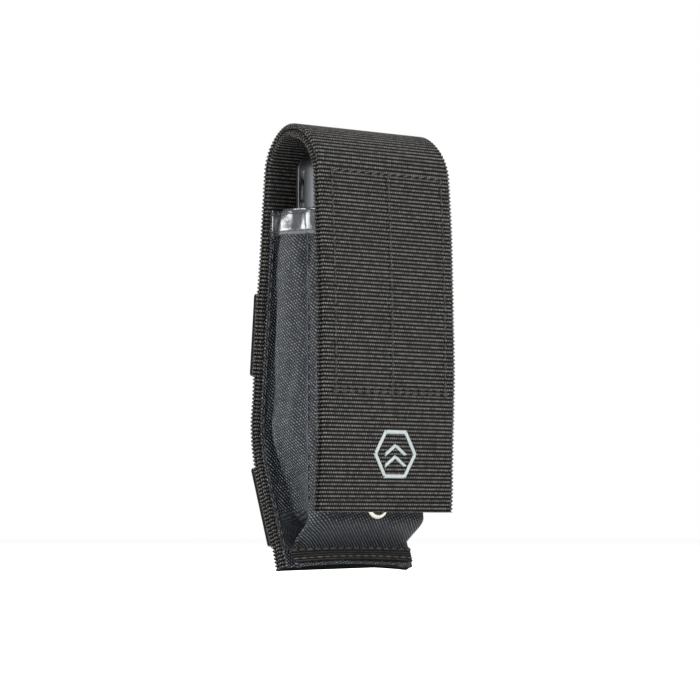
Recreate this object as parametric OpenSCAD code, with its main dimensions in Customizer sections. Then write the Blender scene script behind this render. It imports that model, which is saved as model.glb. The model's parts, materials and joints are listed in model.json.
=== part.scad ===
// Belt sheath of ribbed webbing with rows for a load-bearing panel, and the closed plier multi tool inside it.
// +Z is up, -Y is the front (the flap), +Y is the side worn against the body.
// Origin: centre of the bounding box in X and Y, lowest point of the bottom seam in Z.

/* [Webbing] */
// Width of the folded webbing that makes the back, the crown and the flap
web_w = 50.8; // [46:0.2:56]
// Thickness of one layer of webbing
web_t = 1.6; // [1.4:0.1:1.7]
// Overall height of the sheath
height = 133.3; // [131:0.1:136]
// Outside radius of the crown, where the webbing turns over the tool
crown_r = 15; // [14.8:0.1:15.4]
// Lean of the back towards the front
back_lean = 5; // [4.5:0.1:5.5]
// Lean of the foot of the back, below the bend
foot_lean = 20; // [19:0.5:21]
// Radius of the bend between back and foot
bend_r = 45; // [42:1:48]
// Height of the top of that bend
bend_top = 48; // [46:0.5:50]
// Height of the flap's lower edge
flap_end = 17.8; // [17.5:0.1:20]

/* [Pocket] */
// Outside width of the pocket
pocket_w = 42; // [41.6:0.1:43]
// Thickness of the pocket cloth
cloth_t = 1; // [0.9:0.1:1.2]
// Height of the pocket's mouth
mouth = 108; // [104:0.5:109]
// Distance from the flap's outer face to the pocket's front
pocket_back = 8; // [7.8:0.1:8.1]
// Height of the glossy tape round the mouth
tape_h = 7.6; // [6:0.1:9]
// Outside diameter of the drain eyelet
eyelet_d = 8; // [7:0.1:8.4]
// Diameter of the hole through the drain eyelet
eyelet_hole = 4; // [3.6:0.1:4.2]

/* [Carrying rows] */
// Height of one carrying row
row_h = 25.4; // [24:0.1:26]
// Distance from one row to the next, centre to centre
row_pitch = 50.8; // [50:0.1:51]
// Width of the strap behind the rows
strap_w = 25.4; // [20:0.2:26]
// Thickness of the strap and of the rows
strap_t = 1.3; // [1.1:0.1:1.4]
// Diameter of the snap's cap
snap_d = 12.4; // [11:0.1:13]

/* [Multi tool] */
// Width of the closed tool
tool_w = 34; // [33.8:0.1:34.4]
// Thickness of the closed tool
tool_t = 15; // [14.9:0.1:15.1]
// Length of the closed tool
tool_l = 108; // [107.5:0.1:108.2]
// Thickness of the handle's sheet steel
sheet_t = 1.3; // [1.2:0.05:1.35]
// Diameter of the axles that the blades turn on
axle_d = 3.6; // [3.4:0.1:3.7]
// Radial clearance round each axle
run_gap = 0.05; // [0.03:0.01:0.08]

/* [Hidden] */
$fn = 48;
eps = 0.01;
gap = 0.1;                                   // air left between cloth faces that only touch

// Side profile: the line between the two webbing layers, as (y, z)
path_r = crown_r - web_t;
row_rise = strap_t + 0.3;                    // how far a row's middle stands off the back
row_out = web_t + row_rise + strap_t;        // from the path to the outer face of a row
upper_row_z = height / 2 + 4.3;              // centre of the upper row
lower_row_z = upper_row_z - row_pitch;
crown_z = height - crown_r;                  // centre of the crown's arc
back_span = crown_z + path_r * sin(back_lean) - (upper_row_z - row_h / 2);
depth = crown_r + path_r * cos(back_lean) + back_span * tan(back_lean) + row_out * cos(back_lean);
front_y = -depth / 2;                        // outer face of the flap
crown_y = front_y + crown_r;
back_top = [crown_y + path_r * cos(back_lean), crown_z + path_r * sin(back_lean)];
bend_start = [back_top[0] + (back_top[1] - bend_top) * tan(back_lean), bend_top];
bend_centre = bend_start - bend_r * [cos(back_lean), sin(back_lean)];
foot_top = bend_centre + bend_r * [cos(foot_lean), -sin(foot_lean)];
foot_low = web_t * sin(foot_lean);           // lifts the lowest corner to z = 0
foot_end = foot_top - (foot_top[1] - foot_low) * [tan(foot_lean), 1];

// Each station is [y, z, angle of the outward normal]
function on_arc(c, r, a) = [c[0] + r * cos(a), c[1] + r * sin(a), a];
foot_stations = [[foot_end[0], foot_end[1], -foot_lean], [foot_top[0], foot_top[1], -foot_lean]];
bend_stations = [for (a = [-foot_lean + 5 : 5 : back_lean]) on_arc(bend_centre, bend_r, a)];
back_stations = [[back_top[0], back_top[1], back_lean]];
crown_stations = [for (a = [back_lean + 0.01 : (180 - back_lean - 0.01) / 19 : 180.01])
                  on_arc([crown_y, crown_z], path_r, a)];
flap_stations = [[front_y + web_t, crown_z, 180], [front_y + web_t, flap_end, 180]];

function pushed(stations, n) = [for (s = stations) [s[0] + n * cos(s[2]), s[1] + n * sin(s[2])]];
function reversed(v) = [for (i = [len(v) - 1 : -1 : 0]) v[i]];
function band(stations, n0, n1) = concat(pushed(stations, n1), reversed(pushed(stations, n0)));
function on_back_line(z) = [back_top[0] + (back_top[1] - z) * tan(back_lean), z, back_lean];
function on_foot_line(z) = [foot_end[0] + (z - foot_end[1]) * tan(foot_lean), z, -foot_lean];

// Draws a (y, z) outline and gives it a width across X
module across(w, x = 0) translate([x - w / 2, 0, 0]) rotate([90, 0, 90]) linear_extrude(w) children();
module ribbon(stations, n0, n1, w, x = 0) across(w, x) polygon(band(stations, n0, n1));
// Places its children on the back: +Y outwards, +Z up along the webbing
module at_station(s) translate([0, s[0], s[1]]) rotate([s[2], 0, 0]) children();

// ---- Webbing ----
webbing_colour = [0.07, 0.07, 0.07];
module back_sheet(n0, n1) color(webbing_colour) difference() {
    ribbon(concat(foot_stations, bend_stations, back_stations), n0, n1, web_w);
    snap_recess();
}
module back_outer_webbing() back_sheet(0, web_t);
module back_lining_webbing() back_sheet(-web_t, -eps);
module crown_outer_webbing() color(webbing_colour) ribbon(crown_stations, 0, web_t, web_w);
module crown_lining_webbing() color(webbing_colour) ribbon(crown_stations, -web_t, -eps, web_w);
flap_gap = 0.02;                             // hairline where the flap meets the crown
module flap_sheet(n0, n1) difference() {
    ribbon(flap_stations, n0, n1, web_w);
    translate([-web_w, front_y - 1, crown_z - flap_gap]) cube([2 * web_w, depth, 1]);
}
module flap_outer_webbing() color(webbing_colour) flap_sheet(0, web_t);
module flap_lining_webbing() color(webbing_colour) flap_sheet(-web_t, -eps);

// ---- Hook and loop ----
patch_w = 40;
patch_top = 114;
patch_low = 53.6;
hook_t = 2.2;
pocket_y = front_y + pocket_back;            // outer face of the pocket's front
loop_t = pocket_back - 2 * web_t - hook_t - 0.2;
module flap_hook_patch() color([0.05, 0.05, 0.05])
    translate([-patch_w / 2, front_y + 2 * web_t + eps, patch_low])
        cube([patch_w, hook_t, patch_top - patch_low]);
module pocket_loop_patch() color([0.06, 0.06, 0.06])
    translate([-patch_w / 2, pocket_y - loop_t, patch_low - 8])
        cube([patch_w, loop_t - eps, mouth - tape_h - 1 - patch_low + 8]);

// ---- Pocket ----
cloth_colour = [0.10, 0.11, 0.12];
slope_z = 15;                                // where the pocket's front starts to slope to the seam
hem_h = 5;                                   // height of the sewn hem at the foot
flange_x = pocket_w / 2 - cloth_t;           // inner face of a gusset
in_n = -web_t - gap;                         // inner face of the back, seen along the normal
hem_top = on_foot_line(hem_h + foot_low);
hem_low = on_foot_line(foot_low + 0.6);
hem_stations = [hem_low, hem_top];
front_low_in = pushed([hem_top], in_n)[0];
front_low_out = pushed([hem_top], in_n - cloth_t)[0];
module pocket_front() color(cloth_colour) difference() {
    across(pocket_w) polygon(concat(
        [[pocket_y, mouth], [pocket_y, slope_z], front_low_out - [0, 0.4]],
        [pushed([hem_low], in_n - cloth_t)[0], pushed([hem_low], in_n)[0], front_low_in + [0, 1]],
        [[pocket_y + cloth_t, slope_z + 0.6], [pocket_y + cloth_t, mouth]]));
    eyelet_punch();
}
gusset_stations = concat([on_foot_line(hem_h + foot_low + 2.6), foot_stations[1]], bend_stations,
                         [on_back_line(mouth)]);
// side: -1 for the left gusset, 1 for the right one
module gusset(side) color(cloth_colour) {
    across(cloth_t, side * (flange_x + cloth_t / 2)) polygon(concat(
        [[pocket_y + cloth_t + gap, mouth], [pocket_y + cloth_t + gap, slope_z + 0.8],
         front_low_in + [-gap, 1.6]],
        pushed(gusset_stations, in_n)));
    ribbon(gusset_stations, in_n - cloth_t, in_n, web_w / 2 - flange_x, side * (web_w / 2 + flange_x) / 2);
}
module left_gusset() gusset(-1);
module right_gusset() gusset(1);
tape_t = 0.4;
mouth_back_y = on_back_line(mouth)[0] + in_n;
module mouth_tape() color([0.12, 0.12, 0.13]) difference() {
    translate([-pocket_w / 2 - tape_t, pocket_y - tape_t, mouth - tape_h])
        cube([pocket_w + 2 * tape_t, mouth_back_y - cloth_t - pocket_y - 2, tape_h + tape_t]);
    translate([-flange_x + tape_t, pocket_y + cloth_t + tape_t, mouth - tape_h - 1])
        cube([2 * (flange_x - tape_t), depth, tape_h + 3]);
    translate([-pocket_w / 2 - eps, pocket_y - eps, mouth - tape_h - 1])
        cube([pocket_w + 2 * eps, cloth_t + 2 * eps, tape_h + 1 + eps]);
    for (side = [-1, 1])
        translate([side * (flange_x + cloth_t / 2) - cloth_t / 2 - eps, pocket_y, mouth - tape_h - 1])
            cube([cloth_t + 2 * eps, depth, tape_h + 1 + eps]);
}
module hem_tape() color([0.09, 0.09, 0.09])
    ribbon([hem_low, on_foot_line(hem_h + foot_low - 2)],
           in_n - cloth_t - 0.8, in_n - cloth_t - eps, web_w - 5);

// ---- Drain eyelet, pressed through the pocket's front ----
eyelet_z = 19.9;
rim_t = 0.6;
washer_t = 0.4;
barrel_t = 0.5;
module along_y(y0, y1, d) translate([0, y0, eyelet_z]) rotate([-90, 0, 0]) cylinder(d = d, h = y1 - y0);
module drain_eyelet() color([0.80, 0.79, 0.76]) difference() {
    union() {
        along_y(pocket_y - rim_t, pocket_y - eps, eyelet_d);
        along_y(pocket_y - rim_t, pocket_y + cloth_t + washer_t, eyelet_hole + 2 * barrel_t);
    }
    along_y(pocket_y - 2, pocket_y + cloth_t + 2, eyelet_hole);
}
module eyelet_washer() color([0.72, 0.71, 0.68]) difference() {
    along_y(pocket_y + cloth_t + eps, pocket_y + cloth_t + washer_t, eyelet_d);
    along_y(pocket_y, pocket_y + cloth_t + 2, eyelet_hole + 2 * barrel_t + 2 * eps);
}
module eyelet_punch()
    along_y(pocket_y - 1, pocket_y + cloth_t + 1, eyelet_hole + 2 * barrel_t + 2 * eps);

// ---- Carrying rows, strap and snap ----
row_half = web_w / 2;
row_flat = strap_w / 2 + 1.2;                // half width of a row's raised middle
row_foot = row_flat + 3.2;                   // where its ramp meets the back
module row_section() polygon([[-row_half, 0], [-row_foot, 0], [-row_flat, row_rise], [row_flat, row_rise],
    [row_foot, 0], [row_half, 0], [row_half, strap_t], [row_foot, strap_t], [row_flat, row_rise + strap_t],
    [-row_flat, row_rise + strap_t], [-row_foot, strap_t], [-row_half, strap_t]]);
module row() color(webbing_colour)
    translate([0, web_t + gap / 2, -row_h / 2]) linear_extrude(row_h) row_section();
module upper_row() at_station(on_back_line(upper_row_z)) row();
module lower_row() at_station(on_foot_line(lower_row_z)) translate([0, gap, 0]) row();
strap_in = web_t + gap;
hinge_z = upper_row_z + row_h / 2 + 2.2;     // the strap's tail turns just above the upper row
tail_end = 112;
strap_stations = concat([on_foot_line(5.5), foot_stations[1]], bend_stations, [on_back_line(hinge_z)]);
module carry_strap() color(webbing_colour) ribbon(strap_stations, strap_in, strap_in + strap_t, strap_w);
module strap_anchor() color(webbing_colour)
    ribbon([on_foot_line(1.2), on_foot_line(5.4)], strap_in, strap_in + strap_t, strap_w + 4);
snap_z = hinge_z + 14;
tail_gap = 0.02;
snap_post_d = 4;
module at_snap() at_station(on_back_line(snap_z)) children();
// A disc on the snap's axis, from n0 to n1 outwards
module disc(n0, n1, d) translate([0, n0, 0]) rotate([-90, 0, 0]) cylinder(d = d, h = n1 - n0);
module strap_tail() color(webbing_colour) difference() {
    ribbon([on_back_line(hinge_z + tail_gap), on_back_line(tail_end)], strap_in, strap_in + strap_t, strap_w);
    at_snap() disc(0, 9, snap_post_d + 2 * eps);
}
tail_out = strap_in + strap_t;
module snap_cap() color([0.08, 0.08, 0.08]) at_snap() difference() {
    union() {
        disc(tail_out + eps, tail_out + 0.9, snap_d);
        disc(tail_out + 0.9 - eps, tail_out + 1.5, snap_d - 2.4);
        disc(strap_in - 0.9, tail_out + 1, snap_post_d);
    }
    disc(strap_in - 1, strap_in + 0.4, 2.6);
}
// The socket sits in a shallow pocket between tail and back; the stud clicks into it
socket_n = 0.9;
module snap_socket() color([0.66, 0.65, 0.62]) at_snap() difference() {
    disc(strap_in - socket_n, strap_in - eps, 9);
    disc(strap_in - socket_n - 1, strap_in + 1, snap_post_d + 2 * eps);
}
module snap_stud() color([0.66, 0.65, 0.62]) at_snap() difference() {
    disc(0.05, 0.6, 9);
    disc(-1, 1, 2.4 + 2 * eps);
}
module snap_rivet() color([0.66, 0.65, 0.62]) at_snap() {
    disc(-web_t - 0.6, -web_t - eps, 7);
    disc(-web_t - 0.5, 1.0, 2.4);
}
module snap_recess() at_snap() {
    disc(0, web_t + 1, 9.6);
    disc(-web_t - 1, 1, 2.4 + 2 * eps);
}

// ---- Multi tool: x across, y through, z along; its own origin is the middle of its lower end ----
steel = [0.20, 0.20, 0.21];
tool_low = height - 8.7 - tool_l;
tool_y = crown_y + 1.9;
half_w = tool_w / 2;
half_t = tool_t / 2;
corner_r = 4.4;                              // rounds the outer corners of each handle
axle_x = half_w - corner_r - 0.1;
axle_z = tool_l - corner_r - 0.1;
pin_x = 10.9;
pin_z = 6.4;
in_t = half_t - sheet_t;                     // inner face of a handle wall
slot_y0 = 3.6;                               // the blade swings out through the slot above this y
module in_tool() translate([0, tool_y, tool_low]) children();
module mirrored(side) mirror([side > 0 ? 1 : 0, 0, 0]) children();
// A plate in the tool's x-z plane, from y0 to y1
module plate(y0, y1) translate([0, y1, 0]) rotate([90, 0, 0]) linear_extrude(y1 - y0) children();
module rod(x, z, y0, y1, d) translate([x, y0, z]) rotate([-90, 0, 0]) cylinder(d = d, h = y1 - y0);
module handle_outline(inset) {
    r = corner_r - inset;
    low = inset;
    high = tool_l - inset;
    left = -half_w + inset;
    difference() {
        union() {
            translate([left + r, low]) square([half_w - 0.3 - inset - r, high - low]);
            translate([left, low + r]) square([r + 1, high - low - 2 * r]);
            for (z = [low + r, high - r]) translate([left + r, z]) circle(r);
        }
    }
}
module handle(side) color(steel) in_tool() mirrored(side) difference() {
    plate(-half_t, half_t) handle_outline(0);
    plate(-in_t, in_t) union() {
        handle_outline(sheet_t);
        translate([-6, sheet_t]) square([12, tool_l - 2 * sheet_t]);
        translate([-6, -1]) square([12, 30]);
    }
    translate([-half_w - 1, slot_y0, 24]) cube([12, in_t - slot_y0, tool_l]);
    translate([-half_w + 3, slot_y0 - 2, tool_l - 5]) cube([half_w, in_t - slot_y0 + 2, 8]);
    rod(-axle_x, axle_z, -half_t - 1, half_t + 1, axle_d + 2 * run_gap);
    rod(-pin_x, pin_z, -half_t - 1, half_t + 1, axle_d + 2 * run_gap);
}
module left_handle() handle(-1);
module right_handle() handle(1);
head_t = 0.7;
module axle(side) color([0.35, 0.35, 0.36]) in_tool() mirrored(side) difference() {
    rod(-axle_x, axle_z, -half_t - 0.1, half_t + 0.1, axle_d);
    rod(-axle_x, axle_z, -half_t - 1, -half_t + 4, 1.8);
    rod(-axle_x, axle_z, half_t - 4, half_t + 1, 1.8);
}
module left_axle() axle(-1);
module right_axle() axle(1);
module axle_screws() color([0.30, 0.30, 0.31]) in_tool()
    for (side = [-1, 1], end = [-1, 1]) mirrored(side) mirror([0, end > 0 ? 1 : 0, 0]) difference() {
        union() {
            rod(-axle_x, axle_z, -half_t - 0.1 - head_t, -half_t - 0.1 - eps, 5.4);
            rod(-axle_x, axle_z, -half_t - 0.2, -half_t + 3, 1.7);
        }
        translate([-axle_x, -half_t - 0.1 - head_t - 1, axle_z]) rotate([-90, 0, 0])
            cylinder(d = 2.2, h = 1.45, $fn = 6);
    }

// Outlines of the blades, pivot at (0, 0), pointing down
tang_r = 4;
module pivot_hole() circle(d = axle_d + 2 * run_gap);
blade_y0 = 3.7;
blade_t = 2.3;
blade_l = 72;
blade_depth = 10.6;
module blade_outline() {
    back_x = -tang_r - 0.1;
    difference() {
        union() {
            circle(tang_r);
            translate([-1.6, -9]) square([5, 9]);
            polygon([[back_x, -9.5], [back_x, -blade_l + 12], [back_x + 2.6, -blade_l + 4],
                     [back_x + 5.2, -blade_l], [back_x + 8.6, -blade_l + 12],
                     [back_x + blade_depth, -blade_l + 24], [back_x + blade_depth, -14],
                     [back_x + blade_depth - 2, -9], [back_x + 2, -8]]);
        }
        pivot_hole();
    }
}
module knife_blade() color([0.24, 0.24, 0.25]) in_tool() translate([-axle_x, 0, axle_z])
    plate(blade_y0, blade_y0 + blade_t) blade_outline();
saw_pitch = 2.4;
module saw_blade() color([0.24, 0.24, 0.25]) in_tool() mirrored(1) translate([-axle_x, 0, axle_z])
    plate(blade_y0, blade_y0 + blade_t) difference() {
        blade_outline();
        for (i = [0 : 15]) translate([-tang_r - 0.1 + blade_depth, -18 - i * saw_pitch])
            polygon([[0.1, 0.1], [0.1, -saw_pitch - 0.1], [-1.1, -saw_pitch / 2]]);
    }
module liner_lock(side) color([0.42, 0.42, 0.43]) in_tool() mirrored(side)
    plate(2.2, 3.2) union() {
        translate([-half_w + 2.6, 14]) square([7.4, 78]);
        translate([-half_w + 1.5, 88]) square([5, 7]);
    }
module left_liner_lock() liner_lock(-1);
module right_liner_lock() liner_lock(1);
module washer_stack(side) color([0.45, 0.44, 0.42]) in_tool() mirrored(side)
    for (y = [[-6.15, -5.95], [-3.85, -3.55], [-1.2, 1.3], [1.6, 3.5], [6.03, 6.15]])
        difference() {
            rod(-axle_x, axle_z, y[0], y[1], y[1] - y[0] > 1 ? 5.6 : 6);
            rod(-axle_x, axle_z, y[0] - 1, y[1] + 1, axle_d + 2 * run_gap);
        }
module left_washers() washer_stack(-1);
module right_washers() washer_stack(1);

// Inside implements: a tang round the axle and a shank that ends above the jaws
inner_l = 44;
module implement(side, y0, y1) color(steel) in_tool() mirrored(side) translate([-axle_x, 0, axle_z])
    plate(y0, y1) difference() {
        children();
        pivot_hole();
    }
module tang() circle(tang_r - 1);
module driver_outline(w) union() {
    tang();
    polygon([[-1.5, -2.2], [3.4, -2.2], [6.5, -10], [6.5, -inner_l + 10], [4 + w / 2, -inner_l],
             [4 - w / 2, -inner_l], [1.2, -inner_l + 10], [-1.5, -10]]);
}
module opener_outline() difference() {
    union() {
        tang();
        polygon([[-1.5, -2.2], [3.4, -2.2], [8.4, -12], [8.4, -32], [5, -38], [1.5, -36], [-1.5, -10]]);
    }
    translate([8.6, -26]) circle(3);
}
module awl_outline() union() {
    tang();
    polygon([[-1.5, -2.2], [3.4, -2.2], [7, -10], [6.2, -30], [3.4, -42], [1.4, -28], [-1.5, -10]]);
}
module large_screwdriver() implement(-1, -5.9, -3.9) driver_outline(6);
module small_screwdriver() implement(1, -5.9, -3.9) driver_outline(3);
module can_opener() implement(-1, -3.5, -1.3) opener_outline();
module awl() implement(1, -3.5, -1.3) awl_outline();

// Pliers, nested point up between the handles
jaw_t = 6.4;
jaw_low = 1.6;
jaw_high = 56;
jaw_pivot_z = 15;
jaw_pivot_d = 5;
boss_r = 6.4;
jaw_y0 = -jaw_t / 2 - 1.6;                   // the jaws sit towards the front, clear of the liner locks
lap = jaw_t / 2;
module jaw_nose() polygon([[-0.1, 22], [-7.2, 22], [-7.2, 30], [-2.6, jaw_high], [-0.1, jaw_high]]);
module jaw_arm() union() {
    translate([-pin_x, pin_z]) circle(4.6);
    polygon([[-pin_x - 2, pin_z + 4.1], [-6, 19], [-4.4, 11],
             [-pin_x + 3.2, jaw_low + 1.2], [-pin_x, jaw_low + 0.2]]);
}
// front: true for the jaw whose half lap is at the front
module jaw(side, front) color([0.33, 0.33, 0.34]) in_tool() difference() {
    union() {
        mirrored(side) plate(jaw_y0, jaw_y0 + jaw_t) jaw_nose();
        mirrored(side) plate(jaw_y0, jaw_y0 + jaw_t) jaw_arm();
        plate(front ? jaw_y0 : jaw_y0 + lap + 0.05, front ? jaw_y0 + lap : jaw_y0 + jaw_t) {
            translate([0, jaw_pivot_z]) circle(boss_r);
            mirrored(side) translate([-7.2, jaw_pivot_z + 2]) square([7.1, 8]);
        }
    }
    // clears the other jaw's half of the lap
    plate(front ? jaw_y0 + lap : jaw_y0 - 1, front ? jaw_y0 + jaw_t + 1 : jaw_y0 + lap + 0.05)
        translate([0, jaw_pivot_z]) circle(boss_r + 0.2);
    rod(0, jaw_pivot_z, jaw_y0 - 1, jaw_y0 + jaw_t + 1, jaw_pivot_d + 2 * run_gap);
    mirrored(side) rod(-pin_x, pin_z, jaw_y0 - 1, jaw_y0 + jaw_t + 1, axle_d + 2 * run_gap);
}
module left_jaw() jaw(-1, true);
module right_jaw() jaw(1, false);
module jaw_pivot() color(steel) in_tool() {
    rod(0, jaw_pivot_z, jaw_y0 - 1.2, jaw_y0 - 0.05, 8);
    rod(0, jaw_pivot_z, jaw_y0 - 0.3, jaw_y0 + jaw_t + 1.4, jaw_pivot_d);
}
module jaw_pivot_nut() color(steel) in_tool() difference() {
    rod(0, jaw_pivot_z, jaw_y0 + jaw_t + 0.05, jaw_y0 + jaw_t + 1.3, 8);
    rod(0, jaw_pivot_z, jaw_y0, jaw_y0 + jaw_t + 2, jaw_pivot_d + 2 * eps);
}
module handle_pin(side) color(steel) in_tool() mirrored(side) {
    rod(-pin_x, pin_z, -half_t - 0.05, half_t + 0.05, axle_d);
}
module left_handle_pin() handle_pin(-1);
module right_handle_pin() handle_pin(1);
module spacer(side) color(steel) in_tool() mirrored(side) difference() {
    rod(-pin_x, pin_z, jaw_y0 + jaw_t + 0.1, in_t - 0.1, 7);
    rod(-pin_x, pin_z, -half_t, half_t, axle_d + 2 * run_gap);
}
module left_spacer() spacer(-1);
module right_spacer() spacer(1);

back_outer_webbing();
back_lining_webbing();
crown_outer_webbing();
crown_lining_webbing();
flap_outer_webbing();
flap_lining_webbing();
flap_hook_patch();
pocket_loop_patch();
pocket_front();
left_gusset();
right_gusset();
mouth_tape();
hem_tape();
drain_eyelet();
eyelet_washer();
upper_row();
lower_row();
carry_strap();
strap_anchor();
strap_tail();
snap_cap();
snap_socket();
snap_stud();
snap_rivet();
left_handle();
right_handle();
left_axle();
right_axle();
axle_screws();
knife_blade();
saw_blade();
left_liner_lock();
right_liner_lock();
left_washers();
right_washers();
large_screwdriver();
can_opener();
small_screwdriver();
awl();
left_jaw();
right_jaw();
jaw_pivot();
jaw_pivot_nut();
left_handle_pin();
right_handle_pin();
left_spacer();
right_spacer();
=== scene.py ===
import json
import math

import bmesh
import bpy
import numpy as np
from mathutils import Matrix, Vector


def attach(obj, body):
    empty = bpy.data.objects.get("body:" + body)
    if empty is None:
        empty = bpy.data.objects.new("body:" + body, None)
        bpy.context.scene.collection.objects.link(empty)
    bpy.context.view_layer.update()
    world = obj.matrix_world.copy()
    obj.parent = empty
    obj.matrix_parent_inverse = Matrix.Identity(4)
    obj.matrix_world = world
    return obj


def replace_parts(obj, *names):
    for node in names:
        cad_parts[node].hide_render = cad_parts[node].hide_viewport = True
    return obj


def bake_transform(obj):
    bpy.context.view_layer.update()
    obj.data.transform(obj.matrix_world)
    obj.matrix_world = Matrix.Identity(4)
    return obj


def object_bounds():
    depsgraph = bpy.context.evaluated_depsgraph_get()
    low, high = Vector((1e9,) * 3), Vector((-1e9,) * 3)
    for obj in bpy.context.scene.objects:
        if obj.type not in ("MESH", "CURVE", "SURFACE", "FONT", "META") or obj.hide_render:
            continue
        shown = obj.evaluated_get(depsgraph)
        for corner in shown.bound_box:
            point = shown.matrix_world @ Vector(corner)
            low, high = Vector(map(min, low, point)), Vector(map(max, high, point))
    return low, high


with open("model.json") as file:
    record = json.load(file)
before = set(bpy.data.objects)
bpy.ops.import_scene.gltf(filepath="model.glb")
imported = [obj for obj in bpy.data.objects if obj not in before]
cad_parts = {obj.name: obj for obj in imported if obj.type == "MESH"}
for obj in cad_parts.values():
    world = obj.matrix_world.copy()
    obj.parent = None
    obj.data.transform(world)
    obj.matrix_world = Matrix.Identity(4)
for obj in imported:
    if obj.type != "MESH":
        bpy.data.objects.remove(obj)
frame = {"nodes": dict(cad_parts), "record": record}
cadBox = [list(corner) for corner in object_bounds()]
print("frame loaded")

mm = 0.001

# Driving sizes of the sheath, in mm; they repeat the CAD model's
sheath = {
    "webWidth": 50.8,
    "webThick": 1.6,
    "height": 133.3,
    "crownRadius": 15.0,
    "backLean": 5.0,  # degrees
    "footLean": 20.0,
    "bendRadius": 45.0,
    "bendTop": 48.0,
    "flapEnd": 17.8,
    "pocketWidth": 42.0,
    "mouth": 108.0,
    "pocketBack": 8.0,  # from the flap's face to the pocket's face
    "tapeHeight": 7.6,
    "rowHeight": 25.4,
    "rowPitch": 50.8,
    "strapWidth": 25.4,
    "strapThick": 1.3,
}
depth = (cadBox[1][1] - cadBox[0][1]) / mm
frontY = cadBox[0][1] / mm
lean, footLean = math.radians(sheath["backLean"]), math.radians(sheath["footLean"])
crownY, crownZ = frontY + sheath["crownRadius"], sheath["height"] - sheath["crownRadius"]
pathRadius = sheath["crownRadius"] - sheath["webThick"]
pocketY = frontY + sheath["pocketBack"]
upperRowZ = sheath["height"] / 2 + 4.3
lowerRowZ = upperRowZ - sheath["rowPitch"]


def linear(hexColour):
    # sRGB hex to linear RGBA
    channels = [int(hexColour[i : i + 2], 16) / 255 for i in (1, 3, 5)]
    return [c / 12.92 if c <= 0.04045 else ((c + 0.055) / 1.055) ** 2.4 for c in channels] + [1.0]


def addNode(tree, kind, settings=None, inputs=None, output=0):
    # inputs holds values, or the sockets that feed them, by name or position; gives back one output socket
    node = tree.nodes.new(kind)
    for key, value in (settings or {}).items():
        setattr(node, key, value)
    for key, value in (inputs or {}).items():
        if isinstance(value, bpy.types.NodeSocket):
            tree.links.new(value, node.inputs[key])
        else:
            node.inputs[key].default_value = value
    return node.outputs[output] if node.outputs else None


def newMaterial(name, colour, **values):
    material = bpy.data.materials.new(name)
    material.use_nodes = True
    surface = material.node_tree.nodes["Principled BSDF"]
    surface.inputs["Base Color"].default_value = linear(colour)
    for key, value in values.items():
        surface.inputs[key.replace("_", " ")].default_value = value
    return material, material.node_tree, surface


# Webbing, in mm: rib to rib, peak to groove, warp yarn to warp yarn, and how far stitches and selvedge sink
weave = {
    "ribPitch": 1.15,
    "ribHeight": 0.5,
    "yarn": 0.8,
    "seamSink": 0.5,
    "crossSink": 0.4,
    "edgeSink": 0.3,
    "edgeWander": 0.10,
}


def woven(name, grooveShade, dull, bright, rib, yarn, turn=0.0, wander=0.9, relief=0.12, **values):
    # Rows of short yarns side by side along each rib, half a yarn out of step from row to row: the eye reads
    # bright beads in lines, with near-black painted shade in the grooves between them. rib and yarn are
    # pitches in mm.
    material, tree, surface = newMaterial(name, dull, **values)
    uv = addNode(tree, "ShaderNodeUVMap", {"uv_map": "UVMap"})
    place = addNode(tree, "ShaderNodeMapping", None, {"Vector": uv, "Rotation": (0, 0, math.radians(turn))})
    slack = addNode(tree, "ShaderNodeTexNoise", None, {"Vector": place, "Scale": 0.5, "Detail": 3.0}, "Color")
    loose = addNode(tree, "ShaderNodeVectorMath", {"operation": "MULTIPLY_ADD"},
                    {0: slack, 1: (wander, 0, 0), 2: place})
    # painted shade: the mortar between the beads is the same near-black as the grooves
    beads = addNode(tree, "ShaderNodeTexBrick", None,
                    {"Vector": loose, "Color1": linear(dull), "Color2": linear(bright),
                     "Mortar": linear(grooveShade), "Scale": 1.0, "Mortar Size": yarn * 0.4,
                     "Mortar Smooth": 1.0, "Bias": 0.1, "Brick Width": yarn, "Row Height": rib})
    gaps = beads.node.outputs["Fac"]
    ribs = addNode(tree, "ShaderNodeTexWave", {"bands_direction": "Y"},
                   {"Vector": place, "Scale": math.pi / 10 / rib, "Distortion": 0.0}, "Fac")
    ribShadeMask = addNode(tree, "ShaderNodeMapRange", None, {"Value": ribs, "From Min": 0.3, "From Max": 1.0})
    # painted shade: the rib troughs take the near-black groove colour, the crests take the beads' colours
    colour = addNode(tree, "ShaderNodeMix", {"data_type": "RGBA"}, {0: ribShadeMask, 6: linear(grooveShade), 7: beads}, 2)
    tree.links.new(colour, surface.inputs["Base Color"])
    raised = addNode(tree, "ShaderNodeMath", {"operation": "MULTIPLY_ADD"}, {0: gaps, 1: -0.7, 2: 1.0})
    height = addNode(tree, "ShaderNodeMath", {"operation": "MULTIPLY"}, {0: raised, 1: ribs})
    bumps = addNode(tree, "ShaderNodeBump", None,
                    {"Height": height, "Distance": relief * mm, "Strength": 1.0})
    tree.links.new(bumps, surface.inputs["Normal"])
    return material


def grained(name, colour, grain, depth, spread, strength, **values):
    # A finish with a fine tooth: grain is its size and depth its relief, in mm; spread varies the roughness
    material, tree, surface = newMaterial(name, colour, **values)
    place = addNode(tree, "ShaderNodeTexCoord", None, None, "Object")
    tooth = addNode(tree, "ShaderNodeTexNoise", None,
                    {"Vector": place, "Scale": 1 / (grain * mm), "Detail": 3.0}, "Fac")
    middle = surface.inputs["Roughness"].default_value
    if spread:
        uneven = addNode(tree, "ShaderNodeMapRange", None,
                         {"Value": tooth, "To Min": middle - spread, "To Max": middle + spread})
        tree.links.new(uneven, surface.inputs["Roughness"])
    raised = addNode(tree, "ShaderNodeBump", None,
                     {"Height": tooth, "Distance": depth * mm, "Strength": strength})
    tree.links.new(raised, surface.inputs["Normal"])
    return material
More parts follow.
